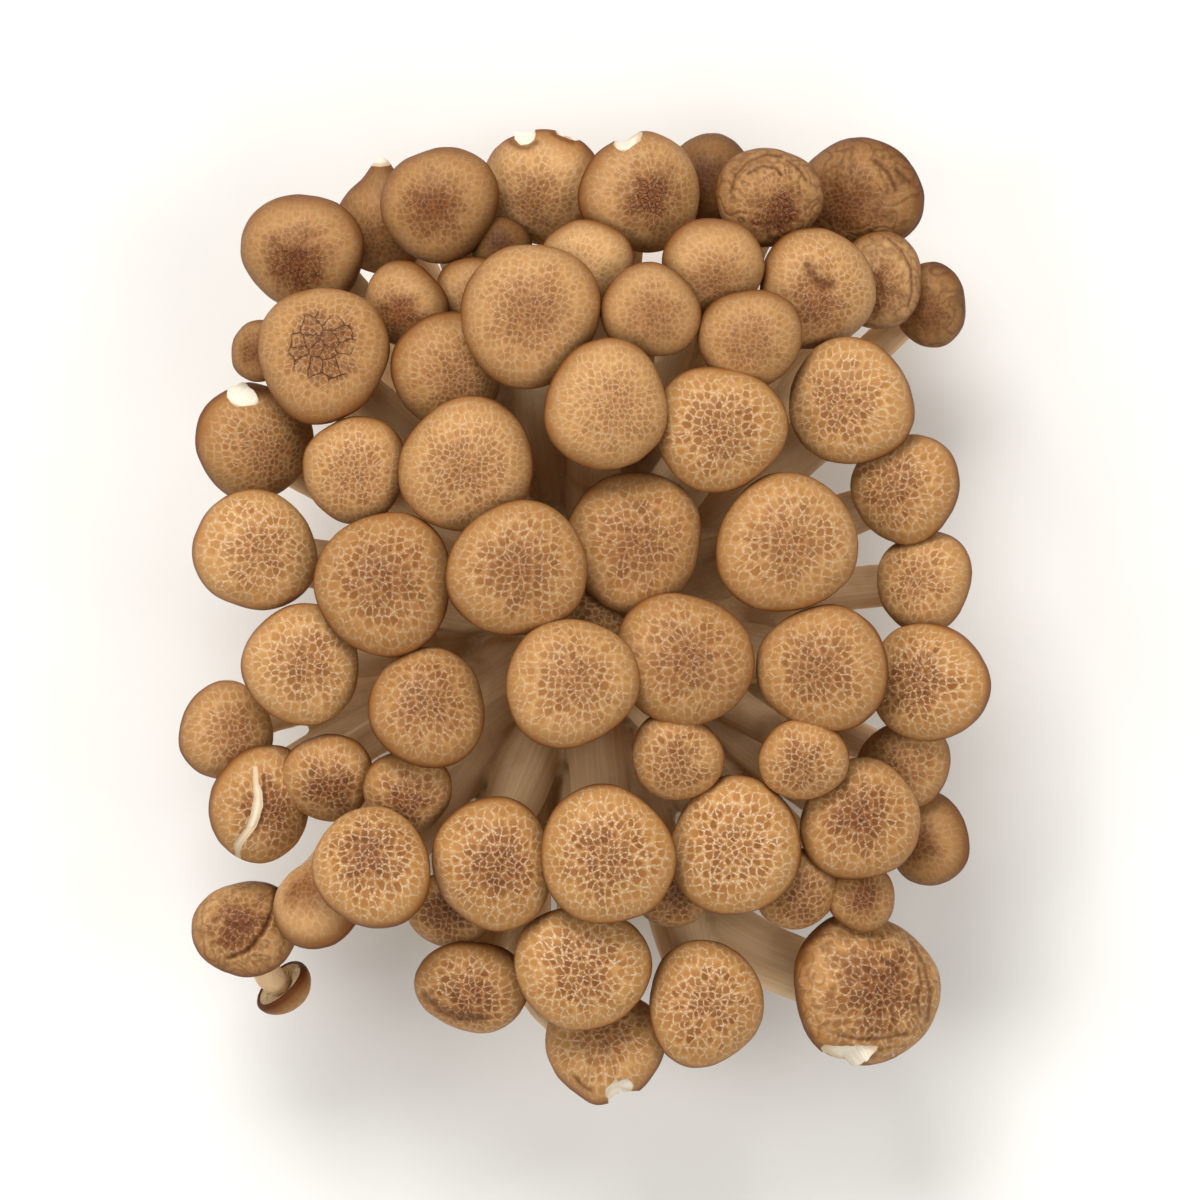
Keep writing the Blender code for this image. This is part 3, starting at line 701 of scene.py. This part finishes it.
SHARP_BREAK = math.radians(40)
CAP_ATTRIBUTES = ("on_cap", "net_place", "reach", "marks", "kind", "apart", "tone")
for node_name, group in caps_of_node.items():
    verts, faces, slots = [], [], []
    attributes = {key: [] for key in CAP_ATTRIBUTES}
    close = [fine_cap(cap, verts, faces, slots, attributes) for cap in group]
    piece = mesh_piece(
        "fine_" + node_name, group[0].place, verts, faces, slots,
        (skin_material, gill_material), attributes,
    )
    if any(close):
        piece.data.set_sharp_from_angle(angle=SHARP_BREAK)
    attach(piece, "root")
    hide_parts(node_name)


# The stems and the base
# Firm cream stems with fine fibres along them, thickest low down. They bend outwards from the
# lump of grown-together feet that the bunch is cut from, whose cut face it stands on.
BASE_HALF_WIDTH, BASE_HALF_LENGTH, BASE_HEIGHT = 27 * MM, 32 * MM, 17 * MM
BASE_FOOT = 0.9
STEM_RADII = (0.42, 0.47, 0.46, 0.42, 0.38, 0.37)
THINNEST_STEM = 2.0 * MM
ROOT_SPREAD = 0.36
ROOT_HEIGHT = 7 * MM
NECK = 4 * MM
GAP = 0.3 * MM
LOW_HANDLE, HIGH_HANDLE = 0.40, 0.35
BEND_ROUNDS, BEND_SPREAD = 240, 0.15
SHOWN_STEMS = {
    "s19": ((5, -24), (-24, 6, -14)),
    "s23": ((-6, -26), (-17, 8, -12)),
}


def way_out(point, cap, room):
    """The move that takes a point out of the flattened ball round a cap, widened by some room."""
    reach = (cap.radius + room, cap.radius + room, cap.rise * 0.62 + room)
    local = cap.inside(point) - Vector((0, 0, cap.rise * 0.42))
    share = Vector([part / limit for part, limit in zip(local, reach)])
    if share.length >= 1 or share.length == 0:
        return Vector()
    return cap.turn @ (local * (1 / share.length - 1)) * 0.5


def stem_route(cap):
    """Points from the base up to a cap, on a curve that is bent clear of the other caps."""
    top = cap.place + cap.axis * (SOCKET_HEIGHT * cap.radius - GAP)
    neck = top - cap.axis * NECK
    root = Vector((cap.place.x * ROOT_SPREAD, cap.place.y * ROOT_SPREAD, ROOT_HEIGHT))
    reach = (neck - root).length
    high = neck - cap.axis.lerp((neck - root).normalized(), 0.5) * reach * HIGH_HANDLE
    if cap.name in SHOWN_STEMS:
        foot, drawn = SHOWN_STEMS[cap.name]
        root = Vector((foot[0] * MM, foot[1] * MM, ROOT_HEIGHT))
        high = cap.place + Vector(drawn) * MM
    low = root + Vector((root.x, root.y, BASE_HALF_WIDTH)).normalized() * reach * LOW_HANDLE
    count = len(STEM_RADII) - 1
    curve = []
    for k in range(count):
        t = k / (count - 1)
        s = 1 - t
        curve.append(s**3 * root + 3 * s * s * t * low + 3 * s * t * t * high + t**3 * neck)
    bend = [Vector() for _ in curve]
    others = [other for other in caps.values() if other is not cap]
    for _ in range(BEND_ROUNDS):
        for k in range(1, count - 1):
            room = max(THINNEST_STEM, STEM_RADII[k] * cap.radius) + 2 * GAP
            for other in others:
                bend[k] += way_out(curve[k] + bend[k], other, room)
        for k in range(1, count - 1):
            bend[k] = bend[k].lerp((bend[k - 1] + bend[k + 1]) / 2, BEND_SPREAD)
    return [place + moved for place, moved in zip(curve, bend)] + [top]


def through(points, share):
    """A place on the smooth curve through some points, at a share of its length."""
    spans = len(points) - 1
    k = min(spans - 1, int(share * spans))
    t = share * spans - k
    before = points[k - 1] if k else points[0] * 2 - points[1]
    after = points[k + 2] if k + 2 <= spans else points[-1] * 2 - points[-2]
    a, b = points[k], points[k + 1]
    return (
        2 * a + (b - before) * t + (2 * before - 5 * a + 4 * b - after) * t * t
        + (3 * a - before - 3 * b + after) * t**3
    ) / 2


STEM_STATIONS, STEM_SIDES = 26, 20
FLUTES = 0.045  # how deep a stem's long hollows are, as a share of its radius
SWELLS = 0.05  # how much a stem's thickness comes and goes along it
TOP_SUNK = 0.09  # how far a stem's end runs up into its cap, as a share of its radius
verts, faces, guide = [], [], []
for cap in caps.values():
    route = stem_route(cap)
    route.append(route[-1] + cap.axis * (GAP + TOP_SUNK * cap.radius))
    draw = random.Random("stem " + cap.name)
    phase = [draw.uniform(0, math.tau) for _ in range(3)]
    offset = draw.uniform(-40, 40)
    stations = [through(route, k / (STEM_STATIONS - 1)) for k in range(STEM_STATIONS)]
    aside = Vector((1, 0, 0))
    start = len(verts)
    shares = np.interp(
        np.linspace(0, len(route) - 1, STEM_STATIONS), range(len(route)), STEM_RADII + (0.40,)
    )
    for k, place in enumerate(stations):
        ahead = stations[min(k + 1, STEM_STATIONS - 1)] - stations[max(k - 1, 0)]
        ahead.normalize()
        aside = (aside - ahead * aside.dot(ahead)).normalized()
        across = ahead.cross(aside)
        radius = max(THINNEST_STEM, shares[k] * cap.radius)
        radius *= 1 + SWELLS * math.sin(k * 0.55 + phase[0])
        guide.append((place, aside.copy(), across, radius, offset, k / STEM_STATIONS))
        for i in range(STEM_SIDES):
            t = math.tau * i / STEM_SIDES
            flute = 1 + FLUTES * math.sin(3 * t + phase[1])
            flute += FLUTES / 2 * math.sin(5 * t + phase[2])
            verts.append(
                place + (aside * math.cos(t) + across * math.sin(t)) * radius * flute
            )
    for k in range(STEM_STATIONS - 1):
        a = start + k * STEM_SIDES
        for i in range(STEM_SIDES):
            j = (i + 1) % STEM_SIDES
            faces.append((a + i, a + j, a + STEM_SIDES + j, a + STEM_SIDES + i))
    faces.append(tuple(range(start + STEM_SIDES - 1, start - 1, -1)))
    last = start + (STEM_STATIONS - 1) * STEM_SIDES
    faces.append(tuple(range(last, last + STEM_SIDES)))

BELOW_CUT = 3 * MM  # the lump is made this much longer and then cut flat
BASE_STATIONS, BASE_SIDES = 12, 64
BASE_LUMPS = 0.05  # as a share of its width
start = len(verts)
for k in range(BASE_STATIONS):
    share = k / (BASE_STATIONS - 1)
    z = -BELOW_CUT + (BASE_HEIGHT + BELOW_CUT) * share
    width = BASE_FOOT + (1 - BASE_FOOT) * max(0, z / BASE_HEIGHT)
    width *= 1 - 0.12 * max(0, share - 0.8) / 0.2
    for i in range(BASE_SIDES):
        t = math.tau * i / BASE_SIDES
        lump = noise.noise(Vector((math.cos(t) * 2.2, math.sin(t) * 2.2, z * 60)))
        lump = 1 + BASE_LUMPS * lump
        x = BASE_HALF_WIDTH * width * lump * math.cos(t)
        y = BASE_HALF_LENGTH * width * lump * math.sin(t)
        verts.append(Vector((x, y, z)))
for k in range(BASE_STATIONS - 1):
    a = start + k * BASE_SIDES
    for i in range(BASE_SIDES):
        j = (i + 1) % BASE_SIDES
        faces.append((a + i, a + j, a + BASE_SIDES + j, a + BASE_SIDES + i))
faces.append(tuple(range(start + BASE_SIDES - 1, start - 1, -1)))
last = start + (BASE_STATIONS - 1) * BASE_SIDES
faces.append(tuple(range(last, last + BASE_SIDES)))

# The tubes and the lump become one skin, then the cut is made.
VOXEL = 0.85 * MM
rough_mesh = bpy.data.meshes.new("stems rough")
rough_mesh.from_pydata(verts, [], faces)
rough = bpy.data.objects.new("stems rough", rough_mesh)
bpy.context.scene.collection.objects.link(rough)
remesh = rough.modifiers.new("one skin", "REMESH")
remesh.mode = "VOXEL"
remesh.voxel_size = VOXEL
soften = rough.modifiers.new("soft joins", "SMOOTH")
soften.factor = 0.5
soften.iterations = 3
graph = bpy.context.evaluated_depsgraph_get()
stems = bmesh.new()
stems.from_mesh(bpy.data.meshes.new_from_object(rough.evaluated_get(graph)))
bpy.data.objects.remove(rough)
cut = bmesh.ops.bisect_plane(
    stems, geom=stems.verts[:] + stems.edges[:] + stems.faces[:],
    plane_co=(0, 0, 0), plane_no=(0, 0, -1), clear_outer=True,
)
rim = [e for e in cut["geom_cut"] if isinstance(e, bmesh.types.BMEdge)]
bmesh.ops.triangle_fill(stems, edges=rim, use_beauty=True, normal=(0, 0, -1))
bmesh.ops.recalc_face_normals(stems, faces=stems.faces[:])

near = KDTree(len(guide))
for k, (place, *_) in enumerate(guide):
    near.insert(place, k)
near.balance()
fibres = []
for v in stems.verts:
    _, k, _ = near.find(v.co)
    place, aside, across, radius, offset, along = guide[k]
    away = v.co - place
    fibres.append((away.dot(aside) / radius + offset, away.dot(across) / radius, along))
stems.verts.index_update()
stem_verts = [v.co.copy() for v in stems.verts]
stem_faces = [tuple(v.index for v in f.verts) for f in stems.faces]
stem_slots = [
    1 if all(abs(v.co.z) < 0.01 * MM for v in f.verts) else 0 for f in stems.faces
]
stems.free()

STEM_COLOUR, STEM_SHADE, STEM_PALE = srgb(214, 178, 134), srgb(168, 124, 82), srgb(232, 206, 166)
STEM_ROUGHNESS, CUT_ROUGHNESS = 0.58, 0.7
stem_material, stem_shader, paint = new_material("stem flesh")
fibre = paint.node("Attribute", attribute_name="fibre", out="Vector")
stretched = paint.node("Mapping", {"Vector": fibre, "Scale": (9.0, 9.0, 3.0)})
strands = paint.node("TexNoise", {"Vector": stretched, "Scale": 1.0, "Detail": 4.0})
where = paint.node("TexCoord", out="Object")
blotch = paint.node("TexNoise", {"Vector": where, "Scale": 90.0, "Detail": 3.0})
speck = paint.node("TexNoise", {"Vector": where, "Scale": 900.0, "Detail": 2.0})
stem_colour = (strands.rising(0.35, 0.68) * 0.5).mixed(STEM_COLOUR, STEM_PALE)
stem_colour = (blotch.rising(0.52, 0.75) * 0.6).mixed(stem_colour, STEM_SHADE)
stem_relief = paint.node(
    "Bump", {"Height": strands + speck * 0.2, "Strength": 0.5, "Distance": 0.25 * MM}
)
links = paint.tree.links
links.new(stem_colour.plug, stem_shader.inputs["Base Color"])
links.new((STEM_ROUGHNESS + blotch * 0.12).plug, stem_shader.inputs["Roughness"])
links.new(stem_relief.plug, stem_shader.inputs["Normal"])
stem_shader.inputs["Specular IOR Level"].default_value = 0.35
stem_shader.inputs["Subsurface Weight"].default_value = 0.25
stem_shader.inputs["Subsurface Radius"].default_value = GLOW_IN_FLESH
stem_shader.inputs["Subsurface Scale"].default_value = 1.5 * MM

CUT_COLOUR, CUT_SEAM = srgb(240, 226, 200), srgb(176, 136, 92)
cut_material, cut_shader, paint = new_material("cut flesh")
where = paint.node("TexCoord", out="Object")
wander = paint.node("TexNoise", {"Vector": where, "Scale": 120.0, "Detail": 2.0}, out=1)
warped = where.plus(wander.times(0.004))
seam = paint.node("TexVoronoi", {"Vector": warped, "Scale": 150.0}, feature="DISTANCE_TO_EDGE")
pores = paint.node("TexNoise", {"Vector": where, "Scale": 1500.0, "Detail": 3.0})
cut_colour = (seam.rising(0.10, 0.0) * 0.75 + pores.rising(0.55, 0.8) * 0.2).mixed(
    CUT_COLOUR, CUT_SEAM
)
cut_relief = paint.node(
    "Bump", {"Height": seam.rising(0.0, 0.12) + pores * 0.4, "Strength": 0.4, "Distance": 0.3 * MM}
)
paint.tree.links.new(cut_colour.plug, cut_shader.inputs["Base Color"])
paint.tree.links.new(cut_relief.plug, cut_shader.inputs["Normal"])
cut_shader.inputs["Roughness"].default_value = CUT_ROUGHNESS

stem_piece = mesh_piece(
    "fine_stems_and_base", Vector(), stem_verts, stem_faces, stem_slots,
    (stem_material, cut_material), {"fibre": fibres},
)
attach(stem_piece, "root")
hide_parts("stems_and_base")


# The floor, the light and the camera
# A plain pale surface under the cluster, soft light from above and from the far left, and a long
# lens that looks straight down, so that the far side is at the top of the picture.
FLOOR_SIZE = 4
FLOOR_BELOW = 0.1 * MM  # a hair under the cut face, so that the two never share a plane
FLOOR_COLOUR, FLOOR_SHADE = srgb(226, 224, 220), srgb(214, 212, 208)
FLOOR_ROUGHNESS = 0.8
floor_material, floor_shader, paint = new_material("pale floor")
dapple = paint.node("TexNoise", {"Scale": 3.0, "Detail": 2.0})
floor_colour = (dapple * 0.1).mixed(FLOOR_COLOUR, FLOOR_SHADE)
paint.tree.links.new(floor_colour.plug, floor_shader.inputs["Base Color"])
floor_shader.inputs["Roughness"].default_value = FLOOR_ROUGHNESS
floor_mesh = bpy.data.meshes.new("floor")
half = FLOOR_SIZE / 2
floor_mesh.from_pydata(
    [(x * half, y * half, -FLOOR_BELOW) for x, y in ((-1, -1), (1, -1), (1, 1), (-1, 1))],
    [], [(0, 1, 2, 3)],
)
floor_mesh.materials.append(floor_material)
floor = bpy.data.objects.new("floor", floor_mesh)
bpy.context.scene.collection.objects.link(floor)


LIGHTS_AIM = Vector((0, 0, 0.03))


def area_light(name, place, size, watts):
    """A square soft light that faces the middle of the cluster."""
    lamp = bpy.data.lights.new(name, "AREA")
    lamp.size = size
    lamp.energy = watts
    made = bpy.data.objects.new(name, lamp)
    made.location = place
    made.rotation_euler = (LIGHTS_AIM - made.location).to_track_quat("-Z", "Y").to_euler()
    bpy.context.scene.collection.objects.link(made)


area_light("light above", Vector((-0.30, 1.10, 1.35)), 0.80, 27.0)
area_light("light left", Vector((-0.90, -0.10, 1.20)), 0.60, 7.0)
area_light("light right", Vector((0.90, -0.10, 1.20)), 0.60, 6.0)
area_light("light near", Vector((0.30, -0.85, 1.20)), 0.60, 4.5)
SURROUND_COLOUR, SURROUND_STRENGTH = (1.0, 0.99, 0.97, 1), 0.32
world = bpy.data.worlds.new("soft surround")
bpy.context.scene.world = world
world.use_nodes = True
world.node_tree.nodes["Background"].inputs["Color"].default_value = SURROUND_COLOUR
world.node_tree.nodes["Background"].inputs["Strength"].default_value = SURROUND_STRENGTH
bpy.context.scene.view_settings.view_transform = "Standard"

VIEW_MIDDLE = Vector((2.4 * MM, 2.35 * MM, 45 * MM))
VIEW_WIDTH = 180 * MM
CAMERA_HEIGHT = 1.6
lens = bpy.data.cameras.new("camera")
lens.lens = lens.sensor_width * CAMERA_HEIGHT / VIEW_WIDTH
camera = bpy.data.objects.new("camera", lens)
camera.location = VIEW_MIDDLE + Vector((0, 0, CAMERA_HEIGHT))
bpy.context.scene.collection.objects.link(camera)
bpy.context.scene.camera = camera
